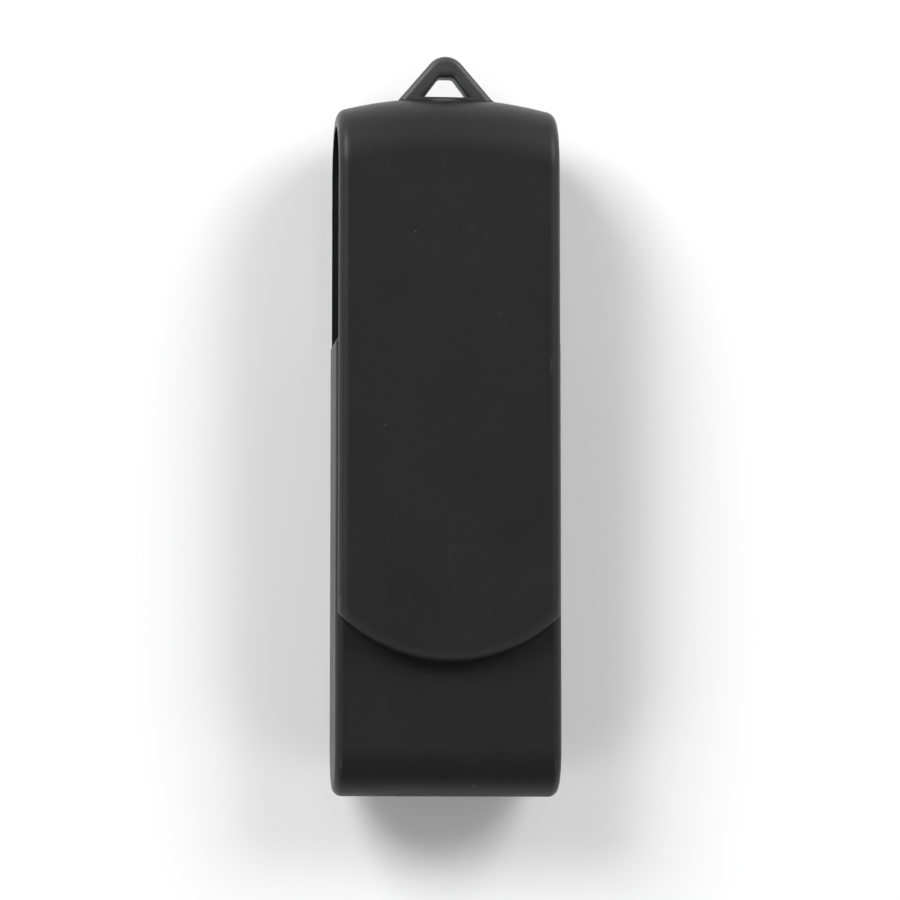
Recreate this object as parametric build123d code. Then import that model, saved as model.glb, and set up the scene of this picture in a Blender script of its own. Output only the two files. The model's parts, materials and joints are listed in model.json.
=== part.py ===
"""Swivel USB flash drive: a black plastic stick with a USB-A plug, and a U-shaped clip that
swings round it on two moulded bosses and covers the plug when it is closed.

Millimetres. X runs across the drive, Y along it towards the plug and the lanyard loop, and Z up.
The drive lies on a low flat land on its clip, and the origin is on that surface, under the middle
of the drive.
"""
from build123d import *
from math import radians, sin, tan
import os

# Clip: a moulded strap folded back on itself.
CLIP_WIDTH = 18.85
CLIP_THICKNESS = 10.5  # over both plates, without the land
PLATE = 1.25           # wall of the clip's plates and of its closed end
CREST_REACH = 35.7     # the closed end is turned about the pivot, out to this radius
OPEN_END_RADIUS = 13.0  # the plates' open ends are arcs about the pivot
CLIP_EDGE = 0.95       # rounding of the long outer edges
OPEN_END_EDGE = 0.35
BOSS_RADIUS = 3.0
BOSS_CHAMFER = 0.3
LAND_HEIGHT = 0.25     # rectangular land on the back plate that the drive lies on
LAND_HALF_WIDTH = 7.6
LAND_SPAN = (-8.2, 27.0)  # from the pivot along Y
LAND_EDGE = 0.08

# Stick: two half shells round the circuit board and the plug.
SHELL_WIDTH = 19.2
SHELL_THICKNESS = 7.7
TAIL_REACH = 24.2      # pivot to the tail's end
SHOULDER_REACH = 14.6  # pivot to the shoulder that the plug stands out of
WALL = 1.2
SHELL_EDGE = 0.8
SHOULDER_EDGE = 0.5
BORE_CLEARANCE = 0.05
LIP_WIDTH = 0.5        # tongue on the back shell that the front shell drops over
LIP_HEIGHT = 0.6
LIP_CLEARANCE = 0.05
SEAM_CHAMFER = 0.08    # each shell's share of the fine groove round the joint

# Lanyard loop: a triangular eye on a stem that fills a slot through the clip's closed end, pushed
# in from inside as far as its flange.
LOOP_HEIGHT = 3.6
LOOP_DEPTH = 2.2
LOOP_HALF_BASE = 3.88
LOOP_LEAN = 40.5       # degrees between a leg and the Y axis
LOOP_OUTER_RADIUS = 1.75
LOOP_SUNK = 0.5        # how far the legs run on below the crest
EYE_HALF_BASE = 1.91
EYE_HALF_TOP = 0.6
EYE_HEIGHT = 1.75
EYE_RADIUS = 0.35
LOOP_EDGE = 0.55
STEM_HALF_WIDTH = 4.05
STEM_FIT = 0.03
FLANGE = 0.5
FLANGE_OVERHANG = 0.8

# USB-A plug.
PLUG_WIDTH = 12.0
PLUG_HEIGHT = 4.5
PLUG_WALL = 0.3
PLUG_LENGTH = 18.8
PLUG_PROJECTION = 15.4
PLUG_CORNER = 0.55
WINDOW_WIDTH = 2.5
WINDOW_LENGTH = 2.0
WINDOW_FROM_TIP = 5.16
WINDOW_CENTRE = 2.56
TONGUE_HEIGHT = 1.95
TONGUE_SETBACK = 0.4
REAR_BLOCK = 3.2
INSULATOR_FIT = 0.01
CONTACT_WIDTH = 1.0
CONTACT_THICKNESS = 0.25
CONTACT_NOSE = 0.17    # rounding of a contact's front end
CONTACT_PROUD = 0.03
CONTACT_TAIL = 2.0
TAB_LENGTH = 2.0
TAB_HEIGHT = 1.6
TAB_FIT = 0.1          # gap round a tab in the board
SOLDER_RADIUS = 0.55
# Contact name: place across the plug, and distance of its front end behind the plug's tip.
CONTACTS = {
    "power_contact": (-3.5, 1.6),
    "data_minus_contact": (-1.0, 2.6),
    "data_plus_contact": (1.0, 2.6),
    "ground_contact": (3.5, 1.6),
}

# Circuit board and what is soldered to it. A place is (across, distance from the pivot along Y).
BOARD_WIDTH = 14.4
BOARD_THICKNESS = 0.8
BOARD_REAR = -22.4
BOARD_CORNER = 0.8
BOARD_SLACK = 0.2      # gap between the board and the plug's insulator
REAR_POST = (7.2, -17.8)
FRONT_POST = (7.2, 12.4)
POST_RADIUS = 0.7
POST_HEIGHT = 1.3      # above the joint between the shells
POST_FIT = 0.06
NOTCH_FIT = 0.15
SOCKET_RADIUS = 1.05
RIB_PLACES = (-14.0, -6.5, 1.5, 7.5)
RIB_LENGTH = 1.0
RIB_REACH = 1.7        # how far a rib stands in from the side wall
STAND_OFF = 0.1        # gap under a chip
PACKAGE_EDGE = 0.12
LEAD_THICKNESS = 0.15
KNEE_SHARE = 0.3       # where along its reach a lead bends down, and where its toe begins
TOE_SHARE = 0.5
MEMORY_PLACE = (0, -12.0)
MEMORY_SIZE = (12.0, 18.4, 1.0)
CONTROLLER_PLACE = (0, 3.4)
CONTROLLER_SIZE = (7.0, 7.0, 1.4)
REGULATOR_PLACE = (-3.4, 7.4)
REGULATOR_SIZE = (2.9, 1.6, 1.1)
CRYSTAL_PLACE = (3.2, 5.6)
CRYSTAL_SIZE = (3.2, 2.5)
CRYSTAL_BASE = 0.55
CRYSTAL_HEIGHT = 0.8
CRYSTAL_RIM = 0.2      # how far the lid stays inside the base
CRYSTAL_CORNER = 0.35
CHIP_CAPACITOR = (0.8, 1.6, 0.8)
CHIP_RESISTOR = (0.8, 1.6, 0.45)
END_CAP = 0.32
# Chip parts: (across, distance from the pivot, 1 above the board or -1 below it).
CAPACITOR_PLACES = [
    (-5.9, 4.2, 1), (-5.9, 6.6, 1), (5.9, 1.8, 1), (5.9, 6.6, 1),
    (-6.1, 7.4, -1), (-0.6, 7.4, -1), (0.4, 4.0, -1),
]
RESISTOR_PLACES = [
    (-5.9, 1.8, 1), (5.9, 4.2, 1), (-5.9, -0.6, 1), (5.9, -0.6, 1),
    (-2.4, 4.0, -1), (-4.4, 4.0, -1),
]

# Derived places.
BACK_FACE = LAND_HEIGHT
FRONT_FACE = BACK_FACE + CLIP_THICKNESS
MID_Z = (BACK_FACE + FRONT_FACE) / 2
TOTAL_LENGTH = TAIL_REACH + CREST_REACH + LOOP_HEIGHT
PIVOT_Y = TAIL_REACH - TOTAL_LENGTH / 2
GAP = CLIP_THICKNESS - 2 * PLATE
SHELL_LOW = MID_Z - SHELL_THICKNESS / 2
SHELL_HIGH = MID_Z + SHELL_THICKNESS / 2
FLOOR_Z = SHELL_LOW + WALL
CEILING_Z = SHELL_HIGH - WALL
TONGUE_TOP = MID_Z - PLUG_HEIGHT / 2 + PLUG_WALL + TONGUE_HEIGHT
CONTACT_TOP = TONGUE_TOP + CONTACT_PROUD
BOARD_TOP = CONTACT_TOP - CONTACT_THICKNESS
BOARD_BOTTOM = BOARD_TOP - BOARD_THICKNESS
PLUG_TIP = SHOULDER_REACH + PLUG_PROJECTION
PLUG_REAR = PLUG_TIP - PLUG_LENGTH
BOARD_FRONT = PLUG_REAR - BOARD_SLACK
PAST = 5.0             # how far a cutting tool runs past the solid that it cuts
ROOTED = 0.1           # how far a post, rib or boss runs into the wall that it stands on
ALMOST = 1e-3          # two places closer than this are the same


def block(x, y, z):
    """A box between two X values, two distances from the pivot along Y, and two Z values."""
    centre = ((x[0] + x[1]) / 2, PIVOT_Y + (y[0] + y[1]) / 2, (z[0] + z[1]) / 2)
    return Pos(*centre) * Box(x[1] - x[0], y[1] - y[0], z[1] - z[0])


def pillar(x, y, radius, z):
    """A round post standing between two Z values."""
    return Pos(x, PIVOT_Y + y, (z[0] + z[1]) / 2) * Cylinder(radius, z[1] - z[0])


def one(shape):
    """The single solid that a shape should hold."""
    solids = shape.solids()
    if len(solids) != 1:
        raise ValueError(f"expected one solid and found {len(solids)}")
    return solids[0]


def crowned_slab(width, thickness, crest):
    """A slab about MID_Z whose +Y end is rounded over in section and turned about the pivot."""
    nose = thickness / 2
    section = Pos((crest - nose) / 2, 0) * Rectangle(crest - nose, thickness)
    section += Pos(crest - nose, 0) * Circle(nose)
    section &= Pos(crest / 2, 0) * Rectangle(crest, thickness)
    disc = Pos(0, PIVOT_Y, MID_Z) * revolve(Plane.XZ * section, Axis.Z)
    half = width / 2
    level = (MID_Z - nose, MID_Z + nose)
    turned = disc & block((-half, half), (0, crest + PAST), level)
    return turned + block((-half, half), (-crest, 0), level)


def round_nosed_slab(width, thickness, tail, front):
    """A slab about MID_Z whose -Y end is rounded over in section and straight in plan."""
    nose = thickness / 2
    half = width / 2
    level = (MID_Z - nose, MID_Z + nose)
    roll = Pos(0, PIVOT_Y + tail + nose, MID_Z) * Rot(0, 90, 0) * Cylinder(nose, width)
    return roll + block((-half, half), (tail + nose, front), level)


def clip_outside():
    """The clip before it is hollowed: rounded long edges, then the open ends cut to their arc."""
    slab = crowned_slab(CLIP_WIDTH, CLIP_THICKNESS, CREST_REACH)
    half = CLIP_WIDTH / 2
    far_end = PIVOT_Y - CREST_REACH
    rims = []
    for edge in slab.edges():
        at = edge.center()
        if abs(abs(at.X) - half) < ALMOST and at.Y > far_end + ALMOST:
            rims.append(edge)
    slab = fillet(rims, CLIP_EDGE)
    plan = Pos(0, PIVOT_Y) * Circle(OPEN_END_RADIUS)
    plan += Pos(0, PIVOT_Y + CREST_REACH / 2) * Rectangle(CLIP_WIDTH + 1, CREST_REACH + 1)
    slab &= extrude(plan, FRONT_FACE)
    arc = []
    for edge in slab.edges():
        at = edge.center()
        outer = abs(at.Z - MID_Z) > CLIP_THICKNESS / 2 - CLIP_EDGE
        if outer and at.Y < PIVOT_Y - OPEN_END_RADIUS / 2:
            arc.append(edge)
    return fillet(arc, OPEN_END_EDGE)


def clip_hollow(margin=0.0):
    """The space between the plates, smaller by a margin, open at both sides and at the open end."""
    return crowned_slab(CLIP_WIDTH + PAST, GAP - 2 * margin, CREST_REACH - PLATE - margin)


def boss(low, high, free_end):
    """A pivot boss on a plate's inner face, with a lead-in chamfer at its free end."""
    post = pillar(0, 0, BOSS_RADIUS, (low, high))
    circles = post.edges().filter_by(GeomType.CIRCLE)
    return chamfer([e for e in circles if abs(e.center().Z - free_end) < ALMOST], BOSS_CHAMFER)


def land():
    """The low rectangle on the back plate's outer face, with eased edges."""
    pad = block((-LAND_HALF_WIDTH, LAND_HALF_WIDTH), LAND_SPAN, (0, BACK_FACE + ROOTED))
    return chamfer(pad.faces().sort_by(Axis.Z)[0].edges(), LAND_EDGE)


def stem(fit, y):
    """The loop's stem where it passes through the clip's closed end, or the slot for it."""
    half = STEM_HALF_WIDTH + fit
    deep = LOOP_DEPTH / 2 + fit
    return block((-half, half), y, (MID_Z - deep, MID_Z + deep))


def make_clip():
    clip = clip_outside() - clip_hollow()
    reach = WALL + (GAP - SHELL_THICKNESS) / 2 - BORE_CLEARANCE
    low, high = BACK_FACE + PLATE, FRONT_FACE - PLATE
    clip += boss(low - ROOTED, low + reach, low + reach)
    clip += boss(high - reach, high + ROOTED, high - reach)
    clip += land()
    return one(clip - stem(STEM_FIT, (CREST_REACH - PAST, CREST_REACH + PAST)))


def loop_outline():
    """A triangle on the crest with a rounded apex, whose legs run on down below the crest."""
    slope = tan(radians(LOOP_LEAN))
    low = LOOP_HALF_BASE + LOOP_SUNK * slope
    height = LOOP_HALF_BASE / slope
    face = make_face(Polyline((-low, -LOOP_SUNK), (0, height), (low, -LOOP_SUNK), close=True))
    return fillet(face.vertices().sort_by(Axis.Y)[-1], LOOP_OUTER_RADIUS)


def eye_outline():
    """The loop's opening: it narrows upwards from the crest to a flat top with rounded corners."""
    base, top = EYE_HALF_BASE, EYE_HALF_TOP
    corners = [(-base, 0), (-top, EYE_HEIGHT), (top, EYE_HEIGHT), (base, 0)]
    face = make_face(Polyline(*corners, close=True))
    return fillet(face.vertices().sort_by(Axis.Y)[-2:], EYE_RADIUS)


def make_loop():
    lean = radians(LOOP_LEAN)
    apex = LOOP_HALF_BASE / tan(lean) - LOOP_OUTER_RADIUS / sin(lean) + LOOP_OUTER_RADIUS
    lift = LOOP_HEIGHT - apex
    crest = PIVOT_Y + CREST_REACH + lift
    half_depth = LOOP_DEPTH / 2
    ring = loop_outline() - eye_outline()
    ring &= Rectangle(2 * STEM_HALF_WIDTH, 4 * LOOP_HEIGHT)
    ring = extrude(Pos(0, crest, MID_Z - half_depth) * ring, LOOP_DEPTH)
    rims = []
    for edge in ring.edges():
        at = edge.center()
        if abs(abs(at.Z - MID_Z) - half_depth) < ALMOST and at.Y > crest + ROOTED:
            rims.append(edge)
    ring = fillet(rims, LOOP_EDGE)
    inside = CREST_REACH - PLATE - FLANGE / 2
    ring += stem(0, (inside, CREST_REACH + lift - LOOP_SUNK / 2))
    half = STEM_HALF_WIDTH + FLANGE_OVERHANG
    deep = half_depth + FLANGE_OVERHANG
    lining = clip_hollow() - clip_hollow(FLANGE)
    flange = lining & block((-half, half), (inside - PAST, CREST_REACH), (MID_Z - deep, MID_Z + deep))
    return one(ring + flange)


def shell_outside():
    """Both shells together, before they are hollowed and split."""
    slab = round_nosed_slab(SHELL_WIDTH, SHELL_THICKNESS, -TAIL_REACH, SHOULDER_REACH)
    half = SHELL_WIDTH / 2
    rims = []
    for edge in slab.edges():
        if abs(abs(edge.center().X) - half) < ALMOST and edge.length > SHELL_THICKNESS + ALMOST:
            rims.append(edge)
    slab = fillet(rims, SHELL_EDGE)
    shoulder = slab.faces().sort_by(Axis.Y)[-1]
    return fillet(shoulder.edges(), SHOULDER_EDGE)


def shell_space():
    """The space inside the shells."""
    width = SHELL_WIDTH - 2 * WALL
    return round_nosed_slab(width, CEILING_Z - FLOOR_Z, WALL - TAIL_REACH, SHOULDER_REACH - WALL)


def lip(clearance):
    """The tongue along the joint between the shells, or the rebate for it."""
    half = SHELL_WIDTH / 2 - WALL
    out = LIP_WIDTH + clearance
    y = (WALL - TAIL_REACH, SHOULDER_REACH - WALL)
    level = (MID_Z, MID_Z + LIP_HEIGHT + clearance)
    ring = block((-half - out, half + out), (y[0] - out, y[1] + out), level)
    return ring - shell_space()


def post_places():
    """Where the four posts stand that join the shells; the rear two pass through the board."""
    return [(side * x, y) for x, y in (REAR_POST, FRONT_POST) for side in (-1, 1)]


def ribs(z, side_gap):
    """Ribs that stand in beside the side walls, off them by a gap, and hold the board's edges."""
    inner = SHELL_WIDTH / 2 - WALL
    made = []
    for place in RIB_PLACES:
        for side in (-1, 1):
            x = sorted((side * (inner - RIB_REACH), side * (inner - side_gap)))
            made.append(block(x, (place, place + RIB_LENGTH), z))
    return made


def plug_opening():
    """The hole through the shoulder that the plug stands out of."""
    half_x = PLUG_WIDTH / 2 + BORE_CLEARANCE
    half_z = PLUG_HEIGHT / 2 + BORE_CLEARANCE
    y = (SHOULDER_REACH - WALL - 1, SHOULDER_REACH + 1)
    return block((-half_x, half_x), y, (MID_Z - half_z, MID_Z + half_z))


def ease_seam(shell):
    """Chamfer a shell's outer rim where it meets the other shell."""
    half = SHELL_WIDTH / 2
    ends = (PIVOT_Y - TAIL_REACH, PIVOT_Y + SHOULDER_REACH)
    rim = []
    for edge in shell.edges():
        at = edge.center()
        outer = abs(abs(at.X) - half) < ALMOST or min(abs(at.Y - end) for end in ends) < ALMOST
        if outer and abs(at.Z - MID_Z) < ALMOST and edge.length > 1:
            rim.append(edge)
    return chamfer(rim, SEAM_CHAMFER)


def make_shells():
    """Front and back half shells, split at MID_Z."""
    hollow = shell_outside() - shell_space()
    bore = pillar(0, 0, BOSS_RADIUS + BORE_CLEARANCE, (-PAST, CLIP_THICKNESS + PAST))
    side = SHELL_WIDTH
    reach = (-TAIL_REACH - PAST, SHOULDER_REACH + PAST)
    back = hollow & block((-side, side), reach, (-PAST, MID_Z))
    front = hollow & block((-side, side), reach, (MID_Z, CLIP_THICKNESS + PAST))
    back, front = ease_seam(back), ease_seam(front)
    back += lip(0)
    front -= lip(LIP_CLEARANCE)
    low, high = FLOOR_Z - ROOTED, CEILING_Z + ROOTED
    for rib in ribs((low, BOARD_BOTTOM), -ROOTED):
        back += rib
    above_lip = MID_Z + LIP_HEIGHT + LIP_CLEARANCE
    for rib in ribs((BOARD_TOP, high), LIP_CLEARANCE) + ribs((above_lip, high), -ROOTED):
        front += rib
    for x, y in post_places():
        back += pillar(x, y, POST_RADIUS, (low, MID_Z + POST_HEIGHT))
        socket = pillar(x, y, SOCKET_RADIUS, (above_lip, high))
        front += socket - pillar(x, y, POST_RADIUS + POST_FIT, (0, MID_Z + POST_HEIGHT + POST_FIT))
    return one(front - plug_opening() - bore), one(back - plug_opening() - bore)


def rounded_tube(width, height, corner, y):
    """A bar of rounded rectangular section between two distances from the pivot."""
    section = Plane.XZ * RectangleRounded(width, height, corner)
    return Pos(0, PIVOT_Y + y[1], MID_Z) * extrude(section, y[1] - y[0])


def make_plug_shell():
    tube = rounded_tube(PLUG_WIDTH, PLUG_HEIGHT, PLUG_CORNER, (PLUG_REAR, PLUG_TIP))
    inner = (PLUG_WIDTH - 2 * PLUG_WALL, PLUG_HEIGHT - 2 * PLUG_WALL, PLUG_CORNER - PLUG_WALL)
    tube -= rounded_tube(*inner, (PLUG_REAR - 1, PLUG_TIP + 1))
    low = PLUG_TIP - WINDOW_FROM_TIP - WINDOW_LENGTH
    for side in (-1, 1):
        x = side * WINDOW_CENTRE
        across = (x - WINDOW_WIDTH / 2, x + WINDOW_WIDTH / 2)
        tube -= block(across, (low, low + WINDOW_LENGTH), (0, FRONT_FACE))
        tab_x = sorted((side * (PLUG_WIDTH / 2 - PLUG_WALL), side * PLUG_WIDTH / 2))
        half = TAB_HEIGHT / 2
        tube += block(tab_x, (PLUG_REAR - TAB_LENGTH, PLUG_REAR + ROOTED), (MID_Z - half, MID_Z + half))
    return one(tube)


def make_insulator():
    half = PLUG_WIDTH / 2 - PLUG_WALL - INSULATOR_FIT
    low = MID_Z - PLUG_HEIGHT / 2 + PLUG_WALL + INSULATOR_FIT
    high = MID_Z + PLUG_HEIGHT / 2 - PLUG_WALL - INSULATOR_FIT
    tongue = block((-half, half), (PLUG_REAR, PLUG_TIP - TONGUE_SETBACK), (low, TONGUE_TOP))
    whole = tongue + block((-half, half), (PLUG_REAR, PLUG_REAR + REAR_BLOCK), (low, high))
    corners = [e for e in whole.edges().filter_by(Axis.Y) if abs(e.center().Z - TONGUE_TOP) > ALMOST]
    whole = fillet(corners, PLUG_CORNER - PLUG_WALL)
    for x, setback in CONTACTS.values():
        sides = (x - CONTACT_WIDTH / 2, x + CONTACT_WIDTH / 2)
        whole -= block(sides, (PLUG_REAR - 1, PLUG_TIP - setback), (BOARD_TOP, CONTACT_TOP))
    return one(whole)


def make_contact(x, setback):
    sides = (x - CONTACT_WIDTH / 2, x + CONTACT_WIDTH / 2)
    strip = block(sides, (PLUG_REAR - CONTACT_TAIL, PLUG_TIP - setback), (BOARD_TOP, CONTACT_TOP))
    front_top = strip.edges().filter_by(Axis.X).sort_by(Axis.Y)[-2:].sort_by(Axis.Z)[-1]
    return one(fillet(front_top, CONTACT_NOSE))


def make_board():
    half = BOARD_WIDTH / 2
    board = block((-half, half), (BOARD_REAR, BOARD_FRONT), (BOARD_BOTTOM, BOARD_TOP))
    rear = board.edges().filter_by(Axis.Z).sort_by(Axis.Y)[:2]
    board = fillet(rear, BOARD_CORNER)
    for x, y in post_places()[:2]:
        board -= pillar(x, y, POST_RADIUS + NOTCH_FIT, (0, FRONT_FACE))
    outer = PLUG_WIDTH / 2 + TAB_FIT
    inner = PLUG_WIDTH / 2 - PLUG_WALL - TAB_FIT
    for side in (-1, 1):
        slot = sorted((side * inner, side * outer))
        board -= block(slot, (PLUG_REAR - TAB_LENGTH - TAB_FIT, BOARD_FRONT + 1), (0, FRONT_FACE))
    return one(board)


def make_plug_solder():
    """A bead of solder along the outside of each tab of the plug's shell."""
    beads = []
    for side in (-1, 1):
        x = side * PLUG_WIDTH / 2
        bar = Pos(x, PIVOT_Y + PLUG_REAR - TAB_LENGTH / 2 - TAB_FIT, BOARD_TOP) * Rot(90, 0, 0)
        bead = bar * Cylinder(SOLDER_RADIUS, TAB_LENGTH - 4 * TAB_FIT)
        outside = sorted((x, x + side))
        beads.append(one(bead & block(outside, (0, BOARD_FRONT), (BOARD_TOP, FRONT_FACE))))
    return beads


def chip_body(place, size, face, up):
    """A moulded chip package that stands off one face of the board; up is 1 above it, -1 below."""
    x, y = place
    width, length, height = size
    near = face + up * STAND_OFF
    z = sorted((near, near + up * height))
    package = block((x - width / 2, x + width / 2), (y - length / 2, y + length / 2), z)
    far = package.faces().sort_by(Axis.Z)[-1 if up > 0 else 0]
    return one(chamfer(far.edges(), PACKAGE_EDGE))


def gull_wing(height, reach, width):
    """One bent lead from a package's side at the origin out along X; height is where it leaves."""
    knee, toe = reach * KNEE_SHARE, reach * TOE_SHARE
    thick = LEAD_THICKNESS
    outline = Polyline(
        (0, height), (knee, height), (toe, 0), (reach, 0),
        (reach, thick), (toe + thick, thick), (knee + thick, height + thick), (0, height + thick),
        close=True,
    )
    return extrude(Plane.XZ * make_face(outline), width / 2, both=True)


def lead_row(place, face, up, turn, size, lead, pitch, count):
    """A row of leads along the side of a chip that faces the given turn about Z."""
    x, y = place
    width, length, height = size
    wing = gull_wing(STAND_OFF + height / 2, *lead)
    across = width / 2 if turn % 180 == 0 else length / 2
    base = Pos(x, PIVOT_Y + y, face) * Rot(0 if up > 0 else 180, 0, 0) * Rot(0, 0, turn)
    start = -(count - 1) / 2 * pitch
    return [one(base * Pos(across, start + n * pitch, 0) * wing) for n in range(count)]


def make_memory():
    leads = []
    for turn in (90, 270):
        leads += lead_row(MEMORY_PLACE, BOARD_TOP, 1, turn, MEMORY_SIZE, (0.8, 0.22), 0.5, 24)
    return chip_body(MEMORY_PLACE, MEMORY_SIZE, BOARD_TOP, 1), leads


def make_controller():
    leads = []
    for turn in (0, 90, 180, 270):
        leads += lead_row(CONTROLLER_PLACE, BOARD_TOP, 1, turn, CONTROLLER_SIZE, (1.0, 0.22), 0.5, 12)
    return chip_body(CONTROLLER_PLACE, CONTROLLER_SIZE, BOARD_TOP, 1), leads


def make_regulator():
    leads = []
    for turn, pitch, count in ((90, 0.95, 3), (270, 1.9, 2)):
        lead = (0.6, 0.4)
        leads += lead_row(REGULATOR_PLACE, BOARD_BOTTOM, -1, turn, REGULATOR_SIZE, lead, pitch, count)
    return chip_body(REGULATOR_PLACE, REGULATOR_SIZE, BOARD_BOTTOM, -1), leads


def make_crystal():
    """Ceramic base against the board's underside, and a welded metal lid on it."""
    x, y = CRYSTAL_PLACE
    half_x, half_y = CRYSTAL_SIZE[0] / 2, CRYSTAL_SIZE[1] / 2
    joint = BOARD_BOTTOM - CRYSTAL_BASE
    base = block((x - half_x, x + half_x), (y - half_y, y + half_y), (joint, BOARD_BOTTOM))
    sides = (x - half_x + CRYSTAL_RIM, x + half_x - CRYSTAL_RIM)
    ends = (y - half_y + CRYSTAL_RIM, y + half_y - CRYSTAL_RIM)
    lid = block(sides, ends, (BOARD_BOTTOM - CRYSTAL_HEIGHT, joint))
    return one(base), one(fillet(lid.edges().filter_by(Axis.Z), CRYSTAL_CORNER))


def make_chip_parts(places, size):
    """Middles and soldered end caps of small chip components that lie along Y."""
    width, length, height = size
    middles, ends = [], []
    for x, y, up in places:
        face = BOARD_TOP if up > 0 else BOARD_BOTTOM
        z = sorted((face, face + up * height))
        sides = (x - width / 2, x + width / 2)
        low, high = y - length / 2, y + length / 2
        middles.append(one(block(sides, (low + END_CAP, high - END_CAP), z)))
        ends.append(one(block(sides, (low, low + END_CAP), z)))
        ends.append(one(block(sides, (high - END_CAP, high), z)))
    return middles, ends


def main():
    os.makedirs("parts", exist_ok=True)
    nodes = {"swivel_clip": make_clip(), "lanyard_loop": make_loop()}
    nodes["front_shell"], nodes["back_shell"] = make_shells()
    nodes["plug_shell"] = make_plug_shell()
    nodes["plug_insulator"] = make_insulator()
    nodes["plug_solder"] = make_plug_solder()
    for name, (x, setback) in CONTACTS.items():
        nodes[name] = make_contact(x, setback)
    nodes["circuit_board"] = make_board()
    nodes["memory_chip"], nodes["memory_chip_leads"] = make_memory()
    nodes["controller_chip"], nodes["controller_leads"] = make_controller()
    nodes["voltage_regulator"], nodes["regulator_leads"] = make_regulator()
    nodes["crystal_base"], nodes["crystal_lid"] = make_crystal()
    capacitors = make_chip_parts(CAPACITOR_PLACES, CHIP_CAPACITOR)
    nodes["capacitor_bodies"], nodes["capacitor_end_caps"] = capacitors
    resistors = make_chip_parts(RESISTOR_PLACES, CHIP_RESISTOR)
    nodes["resistor_bodies"], nodes["resistor_end_caps"] = resistors
    for name, shape in nodes.items():
        whole = Compound(children=shape) if isinstance(shape, list) else shape
        export_step(whole, f"parts/{name}.step")


main()
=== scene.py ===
import json
from math import cos, pi, radians, sin, tan

import bmesh
import bpy
from mathutils import Matrix, Vector

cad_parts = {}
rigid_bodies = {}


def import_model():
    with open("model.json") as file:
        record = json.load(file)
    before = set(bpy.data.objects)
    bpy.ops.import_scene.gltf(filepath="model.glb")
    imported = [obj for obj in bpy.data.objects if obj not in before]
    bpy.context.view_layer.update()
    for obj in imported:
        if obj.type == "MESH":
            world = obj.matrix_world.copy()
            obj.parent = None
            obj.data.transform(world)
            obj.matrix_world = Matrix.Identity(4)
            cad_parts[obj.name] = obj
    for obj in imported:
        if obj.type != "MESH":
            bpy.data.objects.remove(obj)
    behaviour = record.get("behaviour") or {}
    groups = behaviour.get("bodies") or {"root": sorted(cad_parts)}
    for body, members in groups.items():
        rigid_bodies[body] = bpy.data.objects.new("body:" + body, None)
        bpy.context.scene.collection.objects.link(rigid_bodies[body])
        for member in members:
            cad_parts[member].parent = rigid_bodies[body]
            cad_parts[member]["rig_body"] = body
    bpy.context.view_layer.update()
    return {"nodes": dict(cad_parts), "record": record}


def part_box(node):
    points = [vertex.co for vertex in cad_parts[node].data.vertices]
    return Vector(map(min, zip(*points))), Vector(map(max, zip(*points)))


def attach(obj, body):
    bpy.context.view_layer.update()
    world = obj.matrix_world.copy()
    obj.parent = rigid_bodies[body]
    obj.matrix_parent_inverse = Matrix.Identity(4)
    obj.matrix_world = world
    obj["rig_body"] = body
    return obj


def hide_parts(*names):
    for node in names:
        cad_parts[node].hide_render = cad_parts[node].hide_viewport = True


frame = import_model()
scene = bpy.context.scene
MM = 0.001


# Circuit board
# A green glass-epoxy board that carries everything electronic. It is routed out of a panel, its
# copper is etched and covered with solder mask, and it lies on ribs inside the back shell.

class Value:
    """A number that changes over a surface. Python's operators on it add Math nodes."""

    def __init__(self, bench, socket):
        self.bench = bench
        self.socket = socket

    def math(self, operation, *terms):
        return self.bench.node("ShaderNodeMath", {"operation": operation}, dict(enumerate(terms)))

    def split(self):
        """The three numbers of a place or a direction."""
        outputs = self.bench.node("ShaderNodeSeparateXYZ", sockets={0: self}).socket.node.outputs
        return [Value(self.bench, outputs[n]) for n in range(3)]

    def __add__(self, other):
        return self.math("ADD", self, other)

    def __radd__(self, other):
        return self.math("ADD", other, self)

    def __sub__(self, other):
        return self.math("SUBTRACT", self, other)

    def __rsub__(self, other):
        return self.math("SUBTRACT", other, self)

    def __mul__(self, other):
        return self.math("MULTIPLY", self, other)

    def __rmul__(self, other):
        return self.math("MULTIPLY", other, self)

    def __truediv__(self, other):
        return self.math("DIVIDE", self, other)

    def __rtruediv__(self, other):
        return self.math("DIVIDE", other, self)

    def __abs__(self):
        return self.math("ABSOLUTE", self)

    def above(self, limit):
        """1 where the value is over a limit, and 0 elsewhere."""
        return self.math("GREATER_THAN", self, limit)

    def below(self, limit):
        """1 where the value is under a limit, and 0 elsewhere."""
        return self.math("LESS_THAN", self, limit)

    def higher(self, other):
        """The higher of two values."""
        return self.math("MAXIMUM", self, other)

    def repeat(self, pitch):
        """Distance to the nearest line of a set that is one pitch apart."""
        return self.math("PINGPONG", self, pitch / 2)

    def ease(self, low, high):
        """0 at the first limit, 1 at the second, and a smooth rise between them."""
        ends = {"Value": self, "From Min": low, "From Max": high}
        return self.bench.node("ShaderNodeMapRange", {"interpolation_type": "SMOOTHSTEP"}, ends)


class Bench:
    """A node tree, and what it takes to lay nodes down in it."""

    def __init__(self, owner):
        owner.use_nodes = True
        self.tree = owner.node_tree

    def put(self, socket, value):
        """Link a varying value to a socket, or set the socket to a constant."""
        if isinstance(value, Value):
            self.tree.links.new(value.socket, socket)
        else:
            socket.default_value = value

    def node(self, kind, settings=None, sockets=None, output=0):
        """A node of any kind: its settings first, then its sockets. Returns one of its outputs."""
        made = self.tree.nodes.new(kind)
        for key, value in (settings or {}).items():
            setattr(made, key, value)
        for key, value in (sockets or {}).items():
            self.put(made.inputs[key], value)
        return Value(self, made.outputs[output])


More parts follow.
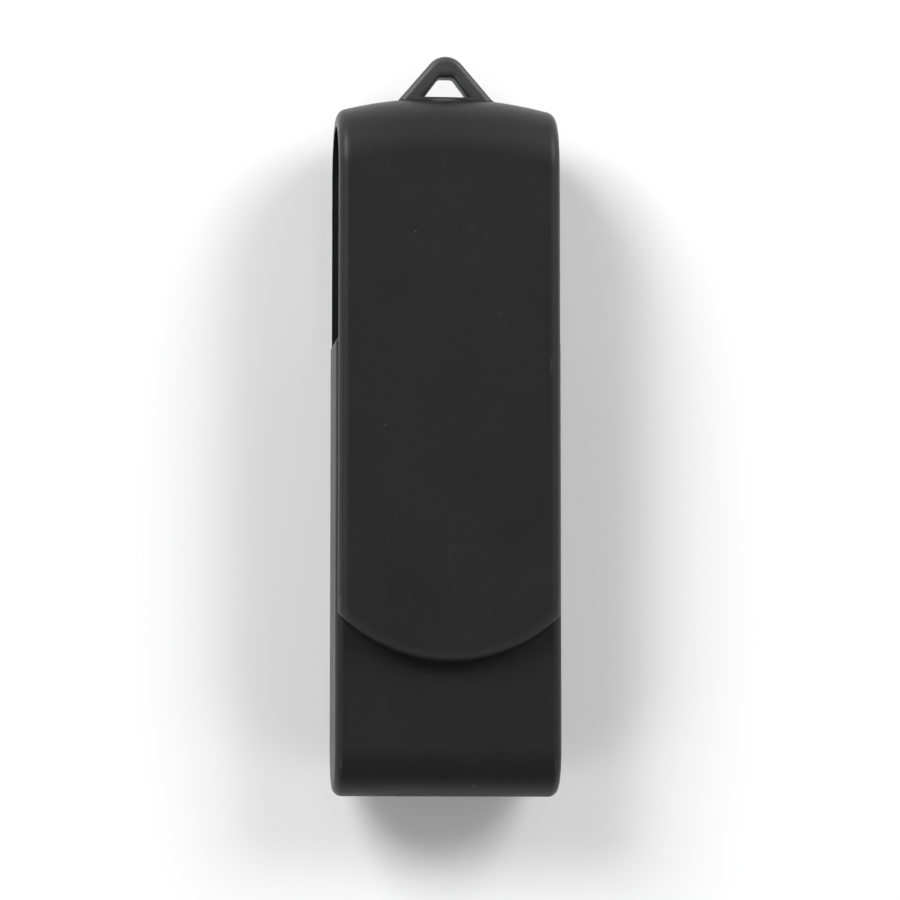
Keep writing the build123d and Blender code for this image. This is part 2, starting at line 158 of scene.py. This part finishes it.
class Finish(Bench):
    """A surface finish: one material. Its sizes are in millimetres."""

    def __init__(self, name, colour, roughness, metallic=0.0, specular=0.5):
        self.material = bpy.data.materials.new(name)
        super().__init__(self.material)
        self.material.diffuse_color = (*colour, 1)
        self.shader = self.tree.nodes["Principled BSDF"]
        self.set("Base Color", (*colour, 1))
        self.set("Roughness", roughness)
        self.set("Metallic", metallic)
        self.set("Specular IOR Level", specular)

    def set(self, name, value):
        """Give one of the surface's own properties a constant or a varying value."""
        self.put(self.shader.inputs[name], value)

    def place(self):
        """Where a point of the piece is, in metres, in the shared frame."""
        return self.node("ShaderNodeTexCoord", output="Object")

    def axes(self):
        """The same place as three numbers in millimetres."""
        scaled = {0: self.place(), 3: 1 / MM}
        return self.node("ShaderNodeVectorMath", {"operation": "SCALE"}, scaled).split()

    def noise(self, size, detail=2.0, stretch=(1, 1, 1)):
        """Cloudy noise about 0.5, with features of a size; a small stretch draws them out."""
        where = self.node("ShaderNodeMapping", sockets={"Vector": self.place(), "Scale": stretch})
        sockets = {"Vector": where, "Scale": 1 / MM / size, "Detail": detail}
        return self.node("ShaderNodeTexNoise", sockets=sockets)

    def specks(self, pitch, radius, share):
        """1 inside sparse soft dots: this share of the cells, one pitch wide, has a dot."""
        sockets = {"Vector": self.place(), "Scale": 1 / MM / pitch}
        far = self.node("ShaderNodeTexVoronoi", {"feature": "F1"}, sockets, "Distance")
        cell_colour = Value(self, far.socket.node.outputs["Color"])
        lot = self.node("ShaderNodeSeparateColor", sockets={0: cell_colour})
        chosen = lot.above(1.0 - share)
        core = 0.4 * radius
        return (1.0 - far.ease(core / pitch, radius / pitch)) * chosen

    def mix(self, mask, under, over):
        """The colour over where the mask is 1, and the colour under it elsewhere."""
        under, over = (c if isinstance(c, Value) else (*c, 1) for c in (under, over))
        settings = {"data_type": "RGBA"}
        return self.node("ShaderNodeMix", settings, {0: mask, 6: under, 7: over}, output=2)

    def bump(self, height, depth):
        """Raise the surface by a height from 0 to 1 times a depth."""
        sockets = {"Height": height, "Distance": depth * MM, "Strength": 1.0}
        self.set("Normal", self.node("ShaderNodeBump", sockets=sockets))


def coat(piece, finish):
    """Give a piece one finish all over."""
    piece.data.materials.clear()
    piece.data.materials.append(finish.material)


MASK = (0.010, 0.085, 0.030)
MASK_OVER_COPPER = (0.020, 0.170, 0.055)
VIA_PLATING = (0.70, 0.50, 0.20)
EDGE_RESIN = (0.30, 0.27, 0.15)
EDGE_GLASS = (0.42, 0.38, 0.22)
MASK_DEPTH = 0.02
TRACK_PITCH = 0.9
TRACK_HALF_WIDTH = 0.14
VIA_PITCH = 1.7
VIA_RADIUS = 0.28
VIA_SHARE = 0.35
YARN_PITCH = 0.32
PLY_PITCH = 0.16

board = Finish("solder_mask_green", (0.012, 0.10, 0.035), 0.32)
x, y, z = board.axes()
low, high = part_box("circuit_board")
board_middle = (low.z + high.z) / 2 / MM
board_half = (high.z - low.z) / 2 / MM
face = abs(z - board_middle).above(board_half - MASK_DEPTH)
jog = board.noise(5.0, detail=0.0).above(0.52) * (TRACK_PITCH / 2)
wired = board.noise(7.0, detail=1.0).above(0.44)
track = (x + jog).repeat(TRACK_PITCH).below(TRACK_HALF_WIDTH) * wired
ground = board.noise(9.0, detail=0.0).above(0.60)
copper = track.higher(ground)
via = board.specks(VIA_PITCH, VIA_RADIUS, VIA_SHARE)
warp = x.repeat(YARN_PITCH).ease(0.0, YARN_PITCH / 2)
weft = y.repeat(YARN_PITCH).ease(0.0, YARN_PITCH / 2)
weave = warp * weft
masked = board.mix(copper, MASK, MASK_OVER_COPPER)
plies = board.mix(z.repeat(PLY_PITCH).ease(0.0, PLY_PITCH / 2), EDGE_RESIN, EDGE_GLASS)
board.set("Base Color", board.mix(face, plies, board.mix(via, masked, VIA_PLATING)))
board.set("Metallic", via * face)
board.set("Roughness", 0.34 + 0.10 * weave + 0.30 * (1.0 - face))
board.bump(0.6 * copper + 0.15 * weave, depth=0.03)
coat(frame["nodes"]["circuit_board"], board)


# Chips
# The memory, its controller and the regulator: silicon in black moulding compound. The mould leaves
# a matt skin, and a round dimple beside the first lead.

WELD = 0.0002
FLAT = radians(0.5)
SHARP = radians(35)
PACKAGE_EDGE = 0.05
EPOXY_DARK = (0.014, 0.014, 0.015)
EPOXY_LIGHT = (0.024, 0.024, 0.025)
OUTER_SKIN = 0.05


def eased(node, name, width, segments=2):
    """A copy of a CAD node with its triangles joined up and its sharp edges rounded over."""
    made = bmesh.new()
    made.from_mesh(frame["nodes"][node].data)
    bmesh.ops.remove_doubles(made, verts=made.verts, dist=WELD * MM)
    bmesh.ops.dissolve_limit(made, angle_limit=FLAT, verts=made.verts, edges=made.edges)
    bmesh.ops.recalc_face_normals(made, faces=made.faces)
    return finished(made, name, node, width, segments)


def finished(made, name, node, width, segments=2):
    """Make an object of a bmesh, round its sharp edges, and let it stand for a CAD node."""
    mesh = bpy.data.meshes.new(name)
    made.to_mesh(mesh)
    made.free()
    if "custom_normal" in mesh.attributes:
        mesh.attributes.remove(mesh.attributes["custom_normal"])
    mesh.shade_smooth()
    piece = bpy.data.objects.new(name, mesh)
    scene.collection.objects.link(piece)
    rounding = piece.modifiers.new("eased_edges", "BEVEL")
    rounding.width = width * MM
    rounding.segments = segments
    rounding.limit_method = "ANGLE"
    rounding.angle_limit = SHARP
    rounding.harden_normals = True
    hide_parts(node)
    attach(piece, frame["nodes"][node]["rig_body"])
    return piece


def chip_finish(name, node, dimple_radius, faces_up):
    """Black moulding compound with its dimple at one corner of the chip's outer face."""
    finish = Finish(name, (0.018, 0.018, 0.019), 0.60, specular=0.4)
    low, high = (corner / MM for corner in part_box(node))
    x, y, z = finish.axes()
    inset = 3 * dimple_radius
    across, along = x - (low.x + inset), y - (low.y + inset)
    squared = across * across + along * along
    outer = (z - high.z + OUTER_SKIN if faces_up else low.z + OUTER_SKIN - z).above(0)
    dimple = (1.0 - (squared / dimple_radius ** 2).ease(0.75, 1.0)) * outer
    grain = finish.noise(0.05, detail=3.0)
    finish.set("Base Color", finish.mix(finish.noise(2.5), EPOXY_DARK, EPOXY_LIGHT))
    finish.set("Roughness", 0.55 + 0.14 * grain - 0.25 * dimple)
    finish.bump(0.4 * grain - 1.2 * dimple, depth=0.03)
    return finish


for node, name, epoxy, dimple_radius, faces_up in (
    ("memory_chip", "memory_package", "memory_epoxy", 0.5, True),
    ("controller_chip", "controller_package", "controller_epoxy", 0.35, True),
    ("voltage_regulator", "regulator_package", "regulator_epoxy", 0.15, False),
):
    coat(eased(node, name, PACKAGE_EDGE), chip_finish(epoxy, node, dimple_radius, faces_up))


# Leads and end caps
# Stamped copper alloy legs of the chips and the fired ends of the small parts, all bright with tin.
# Solder has wetted them and left them a little mottled.

LEAD_EDGE = 0.02
CAP_EDGE = 0.04
TIN_DULL = (0.50, 0.50, 0.49)
TIN_BRIGHT = (0.72, 0.72, 0.70)

tin = Finish("bright_tin", (0.62, 0.62, 0.60), 0.34, metallic=1.0)
mottle = tin.noise(0.35, detail=3.0)
tin.set("Base Color", tin.mix(mottle, TIN_DULL, TIN_BRIGHT))
tin.set("Roughness", 0.24 + 0.24 * mottle)
tin.bump(tin.noise(0.12), depth=0.008)
for node, name in (
    ("memory_chip_leads", "memory_legs"),
    ("controller_leads", "controller_legs"),
    ("regulator_leads", "regulator_legs"),
):
    coat(eased(node, name, LEAD_EDGE, segments=1), tin)
for node, name in (
    ("capacitor_end_caps", "capacitor_ends"),
    ("resistor_end_caps", "resistor_ends"),
):
    coat(eased(node, name, CAP_EDGE), tin)


# Small ceramic parts
# Capacitors are fired brown ceramic. Resistors are white alumina under a dark glass film. The
# crystal is a ceramic tub with a steel lid welded on.

BODY_EDGE = 0.03
TUB_EDGE = 0.04
BROWN_DARK = (0.24, 0.14, 0.075)
BROWN_LIGHT = (0.42, 0.27, 0.15)
ALUMINA = (0.62, 0.62, 0.60)
GLASS_FILM = (0.015, 0.015, 0.018)
FILM_FROM_BOARD = 0.38
TUB_DARK = (0.33, 0.28, 0.22)
TUB_LIGHT = (0.46, 0.41, 0.33)

brown = Finish("fired_brown_ceramic", (0.33, 0.20, 0.11), 0.42)
fleck = brown.noise(0.12, detail=3.0)
brown.set("Base Color", brown.mix(fleck, BROWN_DARK, BROWN_LIGHT))
brown.set("Roughness", 0.34 + 0.18 * fleck)
brown.bump(fleck, depth=0.006)
coat(eased("capacitor_bodies", "capacitor_ceramics", BODY_EDGE), brown)

film = Finish("alumina_with_glass_film", (0.02, 0.02, 0.022), 0.25)
z = film.axes()[2]
glassy = abs(z - board_middle).above(board_half + FILM_FROM_BOARD)
film.set("Base Color", film.mix(glassy, ALUMINA, GLASS_FILM))
film.set("Roughness", 0.55 - 0.35 * glassy + 0.10 * film.noise(0.1))
film.bump(film.noise(0.08), depth=0.004)
coat(eased("resistor_bodies", "resistor_ceramics", BODY_EDGE), film)

tub = Finish("crystal_ceramic", (0.40, 0.35, 0.28), 0.5)
tub.set("Base Color", tub.mix(tub.noise(0.15, detail=3.0), TUB_DARK, TUB_LIGHT))
tub.set("Roughness", 0.42 + 0.2 * tub.noise(0.2))
tub.bump(tub.noise(0.08), depth=0.005)
coat(eased("crystal_base", "crystal_tub", TUB_EDGE), tub)


# Plug contacts
# Four strips of copper alloy with a gold flash, let into the insulator. Each has a rounded nose
# where it first meets the socket, and the socket's springs have drawn fine lines along it.

CONTACT_EDGE = 0.03
NOSE = 0.17
GOLD_DEEP = (0.76, 0.50, 0.17)
GOLD_PALE = (0.90, 0.66, 0.30)


def block(low, high):
    """A box between two corners in metres."""
    made = bmesh.new()
    bmesh.ops.create_cube(made, size=1.0)
    bmesh.ops.scale(made, vec=high - low, verts=made.verts)
    bmesh.ops.translate(made, vec=(low + high) / 2, verts=made.verts)
    return made


def round_over(made, geometry, radius, segments, affect="EDGES"):
    """Round edges or corners over to a radius in millimetres."""
    bmesh.ops.bevel(
        made, geom=geometry, offset=radius * MM, segments=segments, profile=0.5,
        affect=affect, material=-1,
    )


gold = Finish("gold_flash", (0.83, 0.58, 0.22), 0.26, metallic=1.0)
drawn = gold.noise(0.06, detail=3.0, stretch=(1, 0.02, 1))
gold.set("Base Color", gold.mix(gold.noise(1.2), GOLD_DEEP, GOLD_PALE))
gold.set("Roughness", 0.18 + 0.20 * drawn)
gold.bump(drawn, depth=0.004)
for node, name in (
    ("power_contact", "power_strip"),
    ("data_minus_contact", "data_minus_strip"),
    ("data_plus_contact", "data_plus_strip"),
    ("ground_contact", "ground_strip"),
):
    low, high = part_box(node)
    middle = (low + high) / 2
    strip = block(low, high)
    nose = [
        e for e in strip.edges
        if all(v.co.y > middle.y and v.co.z > middle.z for v in e.verts)
    ]
    round_over(strip, nose, NOSE, segments=5)
    coat(finished(strip, name, node, CONTACT_EDGE), gold)


# Plug insulator
# The white tongue and the block behind it, one moulding in PBT, with a channel for each contact.
# It is pushed into the steel shell from behind.

TONGUE_EDGE = 0.05
PBT_SHADED = (0.70, 0.70, 0.665)
PBT_WHITE = (0.80, 0.80, 0.775)

white = Finish("white_moulded_pbt", (0.78, 0.78, 0.75), 0.42)
flow = white.noise(1.6, detail=3.0, stretch=(1, 0.35, 1))
white.set("Base Color", white.mix(flow, PBT_SHADED, PBT_WHITE))
white.set("Roughness", 0.36 + 0.16 * flow)
white.bump(white.noise(0.07, detail=3.0), depth=0.004)
coat(eased("plug_insulator", "plug_tongue", TONGUE_EDGE), white)


# Plug shell
# Nickel-plated steel sheet, 0.3 mm thick, stamped with its latch windows, folded round into a tube
# that closes in a seam underneath, with two tabs left at the back to be soldered to the board.

SHEET = 0.3
SHEET_EDGE = 0.05
SHEET_CORNER = 0.55
WINDOW_WIDTH = 2.5
WINDOW_LENGTH = 2.0
WINDOW_CENTRE = 2.56
WINDOW_SETBACK = 5.16
WINDOW_CORNER = 0.28
SEAM = 0.03
TAB_LENGTH = 2.0
TAB_HEIGHT = 1.6
LID_EDGE = 0.03
TOUCHING = 1e-6
SAME_PLACE = 1e-7
NICKEL_DULL = (0.42, 0.415, 0.405)
NICKEL_BRIGHT = (0.50, 0.495, 0.485)

low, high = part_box("plug_shell")
middle = (low + high) / 2
rear = low.y + TAB_LENGTH * MM
tube = block(Vector((low.x, rear, low.z)), high)
open_ends = [f for f in tube.faces if abs(f.normal.y) > 0.5]
bmesh.ops.delete(tube, geom=open_ends, context="FACES")
folds = [e for e in tube.edges if abs(e.verts[0].co.y - e.verts[1].co.y) > SHEET * MM]
round_over(tube, folds, SHEET_CORNER, segments=6)


def score(made, place, normal):
    """Divide every face that a plane crosses."""
    everything = made.verts[:] + made.edges[:] + made.faces[:]
    bmesh.ops.bisect_plane(
        made, geom=everything, plane_co=place, plane_no=normal, dist=SAME_PLACE,
    )


front_line = high.y - WINDOW_SETBACK * MM
rear_line = front_line - WINDOW_LENGTH * MM
for side in (-1, 1):
    for edge in (-1, 1):
        score(tube, (side * (WINDOW_CENTRE + edge * WINDOW_WIDTH / 2) * MM, 0, 0), (1, 0, 0))
    score(tube, (side * SEAM / 2 * MM, 0, 0), (1, 0, 0))
    score(tube, (0, 0, middle.z + side * TAB_HEIGHT / 2 * MM), (0, 0, 1))
    for line in (front_line, rear_line):
        score(tube, (0, line, 0), (0, 1, 0))


def in_window(point, slack):
    """True on or inside a latch window, of the tube's top or its underside."""
    across = abs(abs(point.x) - WINDOW_CENTRE * MM) < WINDOW_WIDTH / 2 * MM + slack
    along = abs(point.y - (front_line + rear_line) / 2) < WINDOW_LENGTH / 2 * MM + slack
    return across and along and abs(point.z - middle.z) > (high.z - low.z) / 2 - SHEET * MM


corners = [v for v in tube.verts if in_window(v.co, TOUCHING)]
round_over(tube, corners, WINDOW_CORNER, segments=4, affect="VERTICES")
holes = []
for f in tube.faces:
    at = f.calc_center_median()
    in_seam = abs(at.x) < SEAM / 2 * MM and at.z < middle.z
    if in_seam or in_window(at, -WINDOW_LENGTH / 3 * MM):
        holes.append(f)
bmesh.ops.delete(tube, geom=holes, context="FACES")
bmesh.ops.remove_doubles(tube, verts=tube.verts, dist=SAME_PLACE)
tab_roots = []
for e in tube.edges:
    ends = [v.co for v in e.verts]
    at_rear = all(abs(p.y - rear) < TOUCHING for p in ends)
    if at_rear and all(abs(p.z - middle.z) < TAB_HEIGHT / 2 * MM + TOUCHING for p in ends):
        tab_roots.append(e)
grown = bmesh.ops.extrude_edge_only(tube, edges=tab_roots)["geom"]
tab_ends = [v for v in grown if isinstance(v, bmesh.types.BMVert)]
bmesh.ops.translate(tube, vec=(0, -TAB_LENGTH * MM, 0), verts=tab_ends)
bmesh.ops.recalc_face_normals(tube, faces=tube.faces)
plug = finished(tube, "plug_sheet_shell", "plug_shell", SHEET_EDGE)
wall = plug.modifiers.new("sheet_thickness", "SOLIDIFY")
wall.thickness = SHEET * MM
wall.offset = -1
wall.use_even_offset = True
plug.modifiers.move(1, 0)

steel = Finish("nickel_plated_steel", (0.46, 0.455, 0.445), 0.36, metallic=1.0)
rolled = steel.noise(0.09, detail=4.0, stretch=(1, 0.03, 1))
smudge = steel.noise(3.5, detail=3.0)
mouth = (steel.axes()[1] / (high.y / MM)).ease(0.80, 1.0)
rub = steel.noise(0.22, detail=3.0, stretch=(1, 0.05, 1)).ease(0.52, 0.70) * mouth
steel.set("Base Color", steel.mix(smudge, NICKEL_DULL, NICKEL_BRIGHT))
steel.set("Roughness", 0.27 + 0.14 * rolled + 0.10 * smudge + 0.12 * rub)
steel.bump(0.5 * rolled + 0.3 * rub, depth=0.006)
coat(plug, steel)
coat(eased("crystal_lid", "crystal_cover", LID_EDGE), steel)


# Solder on the plug's tabs
# A bead of solder runs along the outside of each tab and holds the plug to the board.
# It is domed where it froze, and lies flat against the board and the tab.

BEAD_EDGE = 0.02


def cut_away(made, geometry, place, normal):
    """Cut with a plane, and drop what lies on the side that its normal points to."""
    bmesh.ops.bisect_plane(
        made, geom=geometry, plane_co=place, plane_no=normal, clear_outer=True,
    )


def add_ball(made, middle, size, rings=16, around=32):
    """Add an ellipsoid point by point, so that its parts come in the same order each run."""
    def point(ring, step):
        tilt, turn = pi * ring / rings, 2 * pi * step / around
        way = (sin(tilt) * cos(turn), sin(tilt) * sin(turn), cos(tilt))
        return made.verts.new([m + s * w for m, s, w in zip(middle, size, way)])

    top, bottom = point(0, 0), point(rings, 0)
    rows = [[point(ring, step) for step in range(around)] for ring in range(1, rings)]
    for step in range(around):
        after = (step + 1) % around
        made.faces.new((top, rows[0][step], rows[0][after]))
        for upper, lower in zip(rows, rows[1:]):
            made.faces.new((upper[step], lower[step], lower[after], upper[after]))
        made.faces.new((bottom, rows[-1][after], rows[-1][step]))


low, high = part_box("plug_solder")
tab_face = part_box("plug_shell")[1].x
size = (high.x - tab_face, (high.y - low.y) / 2, high.z - low.z)
beads = bmesh.new()
for side in (-1, 1):
    add_ball(beads, (side * tab_face, (low.y + high.y) / 2, low.z), size)
everything = beads.verts[:] + beads.edges[:] + beads.faces[:]
cut_away(beads, everything, (0, 0, low.z), (0, 0, -1))
for side in (-1, 1):
    verts = [v for v in beads.verts if v.co.x * side > 0]
    edges = [e for e in beads.edges if e.verts[0].co.x * side > 0]
    faces = [f for f in beads.faces if f.verts[0].co.x * side > 0]
    cut_away(beads, verts + edges + faces, (side * tab_face, 0, 0), (-side, 0, 0))
bmesh.ops.holes_fill(beads, edges=[e for e in beads.edges if e.is_boundary], sides=0)
bmesh.ops.recalc_face_normals(beads, faces=beads.faces)
coat(finished(beads, "tab_solder", "plug_solder", BEAD_EDGE, segments=1), tin)


# Half shells
# Two black ABS mouldings with a rubbery matt coat, pinned and glued together along a lipped joint.
# The coat is a fine grain that takes dust, and hands have polished it along the edges.

COAT_DEEP = (0.0060, 0.0060, 0.0063)
COAT_PALE = (0.0105, 0.0105, 0.0108)
# The lighter coat colour below is used for real handling smears, and as a painted highlight along
# the clip's open ends.
COAT_SMEAR_AND_HIGHLIGHT = (0.026, 0.026, 0.027)
HAIR_SCRATCH = (0.05, 0.05, 0.052)
DUST = (0.20, 0.20, 0.195)
COAT_RELIEF = 0.012
# Depth of the bump in the painted-highlight band along the clip's open ends.
HIGHLIGHT_BAND_DEPTH = 0.072
RUB_FROM = 1.0
RUB_FULL = 0.2
TAIL_RUB_FROM = 1.6
TAIL_RUB_FULL = 0.2
TAIL_RUB_SHARE = 0.3


def soft_touch(name, polished, arc_highlight=None):
    """Rubbery coat over black plastic. Polished is 1 where hands have rubbed it smooth. The third
    argument rises to 1 in a band along an edge: there the coat is painted lighter as a painted
    highlight of an eased-over edge, and the bump lowers the surface as if it were rounded over."""
    finish = Finish(name, (0.0095, 0.0095, 0.0098), 0.55, specular=0.30)
    grain = finish.noise(0.07, detail=3.0)
    blotch = finish.noise(6.0, detail=3.0)
    fine_blotch = finish.noise(0.9)
    black = finish.mix(0.5 * blotch + 0.5 * fine_blotch, COAT_DEEP, COAT_PALE)
    relief = 0.5 * fine_blotch

    if arc_highlight:
        highlight_band = arc_highlight(finish)
        # Painted highlight: the band is painted lighter, like light caught on an eased-over edge,
        # and its bump lowers the surface.
        black = finish.mix(0.55 * highlight_band, black, COAT_SMEAR_AND_HIGHLIGHT)
        relief = relief - HIGHLIGHT_BAND_DEPTH / COAT_RELIEF * highlight_band

    handled = finish.noise(6.5, detail=1.0).ease(0.48, 0.66)
    wiped = finish.noise(0.8, detail=4.0, stretch=(1, 0.6, 1)).ease(0.55, 0.72)
    smear = wiped * handled
    scratched = finish.noise(4.0).ease(0.5, 0.7)
    hair = finish.noise(0.5, stretch=(1, 0.08, 1)).ease(0.70, 0.78) * scratched
    settled = finish.noise(1.7, detail=1.0).ease(0.35, 0.65)
    dust = finish.specks(pitch=1.3, radius=0.09, share=0.30) * settled
    lint = finish.specks(pitch=4.5, radius=0.17, share=0.16)
    dusty = finish.noise(9.0, detail=1.0).ease(0.36, 0.60)
    speck = dust.higher(lint) * dusty
    smeared = finish.mix(0.2 * smear, black, COAT_SMEAR_AND_HIGHLIGHT)
    scuffed = finish.mix(0.35 * hair, smeared, HAIR_SCRATCH)
    finish.set("Base Color", finish.mix(0.8 * speck, scuffed, DUST))

    rubbed = polished(finish)
    uneven = 0.10 * (blotch - 0.5) + 0.08 * (grain - 0.5)
    finish.set("Roughness", 0.53 + uneven - 0.16 * rubbed + 0.2 * speck)
    relief = relief + 0.5 * grain * (1.0 - 0.7 * rubbed) + speck
    finish.bump(relief, depth=COAT_RELIEF)
    return finish


def long_edges(x, half_width):
    """1 along a piece's two long edges, where hands rub it."""
    return abs(x).ease(half_width - RUB_FROM, half_width - RUB_FULL)


def shell_edges(finish):
    """1 along the long edges of the two shells together, and a little over the tail's end."""
    low, high = (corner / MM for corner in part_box("front_shell"))
    x, y = finish.axes()[:2]
    tail = (low.y + TAIL_RUB_FROM - y).ease(0.0, TAIL_RUB_FROM - TAIL_RUB_FULL) * TAIL_RUB_SHARE
    return long_edges(x, high.x).higher(tail)


shells = soft_touch("soft_touch_shells", shell_edges)
for node in ("back_shell", "front_shell"):
    coat(frame["nodes"][node], shells)


# Swivel clip
# One moulding folded over the plug like a strap, in the same coated plastic. Its two round bosses
# snap into holes in the shells, and the whole clip turns on them.

CREST_RUB_FROM = 4.0
CREST_RUB_FULL = 1.0
ARC_RADIUS = 13.0
# The band along the clip's open ends that gets a painted highlight.
ARC_HIGHLIGHT_FROM = 1.2
ARC_HIGHLIGHT_TO = 0.1
PIVOT_Y = frame["record"]["behaviour"]["joints"][0]["pos_m"][1] / MM


def clip_edges(finish):
    """1 along the clip's long edges, and where it is rounded over the crest."""
    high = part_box("swivel_clip")[1] / MM
    x, y = finish.axes()[:2]
    crest = (y - high.y + CREST_RUB_FROM).ease(0.0, CREST_RUB_FROM - CREST_RUB_FULL)
    return long_edges(x, high.x).higher(crest)


def clip_arc(finish):
    """0 on the plates, rising to 1 over the last bit before their arc-shaped open ends, where the
    coat gets a painted highlight.
    """
    x, y = finish.axes()[:2]
    past_pivot = PIVOT_Y - y
    squared = x * x + past_pivot * past_pivot
    band = squared.ease((ARC_RADIUS - ARC_HIGHLIGHT_FROM) ** 2, (ARC_RADIUS - ARC_HIGHLIGHT_TO) ** 2)
    return band * past_pivot.above(0.0)


# The clip's coat has a painted highlight along the open ends of its plates.
coat(frame["nodes"]["swivel_clip"], soft_touch("soft_touch_clip", clip_edges, clip_arc))


# Lanyard loop
# A triangular eye for a cord, moulded in bare black nylon and pushed through a slot in the clip's
# closed end from inside. It has a faint sheen, and a parting line runs round its middle.

NYLON_DEEP = (0.028, 0.028, 0.029)
NYLON_PALE = (0.040, 0.040, 0.042)
PARTING_CORE = 0.02
PARTING_WIDTH = 0.07

nylon = Finish("bare_black_nylon", (0.016, 0.016, 0.017), 0.40)
low, high = (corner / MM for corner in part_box("lanyard_loop"))
off_middle = abs(nylon.axes()[2] - (low.z + high.z) / 2)
parting = 1.0 - off_middle.ease(PARTING_CORE, PARTING_WIDTH)
skin = nylon.noise(0.10, detail=3.0)
cloud = nylon.noise(2.2)
nylon.set("Base Color", nylon.mix(cloud, NYLON_DEEP, NYLON_PALE))
nylon.set("Roughness", 0.36 + 0.12 * skin + 0.08 * cloud)
nylon.bump(0.4 * skin + 0.8 * parting, depth=0.012)
coat(frame["nodes"]["lanyard_loop"], nylon)


# Floor, lights and camera
# The drive lies on a plain pale floor under soft lights. They are low at the sides, so that the
# flat of the clip stays dark and its rounded edges catch the light. Sizes here are in metres.

FLOOR_SIZE = 4.0
LIGHT_SIZE = 0.45
ROOM_DIM = 0.12
ROOM_GLOW = 1.05

floor_mesh = bmesh.new()
bmesh.ops.create_grid(floor_mesh, x_segments=1, y_segments=1, size=FLOOR_SIZE / 2)
mesh = bpy.data.meshes.new("pale_floor")
floor_mesh.to_mesh(mesh)
floor_mesh.free()
floor = bpy.data.objects.new("pale_floor", mesh)
scene.collection.objects.link(floor)
coat(floor, Finish("pale_paper", (0.94, 0.94, 0.94), 0.85, specular=0.2))

for name, place, power in (
    ("far_left_light", (-0.52, 0.50, 0.46), 6.4),
    ("far_right_light", (0.55, 0.46, 0.46), 4.6),
    ("near_left_light", (-0.60, -0.42, 0.50), 1.6),
    ("near_right_light", (0.60, -0.45, 0.50), 1.4),
):
    light = bpy.data.lights.new(name, "AREA")
    light.size = LIGHT_SIZE
    light.energy = power
    lamp = bpy.data.objects.new(name, light)
    scene.collection.objects.link(lamp)
    lamp.location = place
    lamp.rotation_euler = (-Vector(place)).to_track_quat("-Z", "Y").to_euler()

world = bpy.data.worlds.new("room")
room = Bench(world)
sky = room.tree.nodes["Background"].inputs
north, up = room.node("ShaderNodeTexCoord", output="Generated").split()[1:]
low_band = 1.0 - up.ease(-0.05, 0.75)
far_side = north.ease(-0.9, 0.2)
room.put(sky["Color"], (1, 1, 1, 1))
room.put(sky["Strength"], ROOM_DIM + ROOM_GLOW * low_band * far_side)
scene.world = world
scene.view_settings.view_transform = "Standard"

LEAN_LEFT = radians(5.3)
LEAN_BACK = radians(6.0)
VIEW_DISTANCE = 0.42
VIEW_SPAN = 0.0769
SENSOR_WIDTH_MM = 36.0
aim = Vector((0.43, -2.2, 5.5)) * MM
back = Vector((-tan(LEAN_LEFT), -tan(LEAN_BACK), 1)).normalized()
right = Vector((0, 1, 0)).cross(back).normalized()
turn = Matrix((right, back.cross(right), back)).transposed().to_4x4()
camera = bpy.data.cameras.new("camera")
camera.sensor_width = SENSOR_WIDTH_MM
camera.lens = SENSOR_WIDTH_MM * VIEW_DISTANCE / VIEW_SPAN
camera.clip_start = 0.01
view_point = bpy.data.objects.new("camera", camera)
scene.collection.objects.link(view_point)
view_point.matrix_world = Matrix.Translation(aim + back * VIEW_DISTANCE) @ turn
scene.camera = view_point
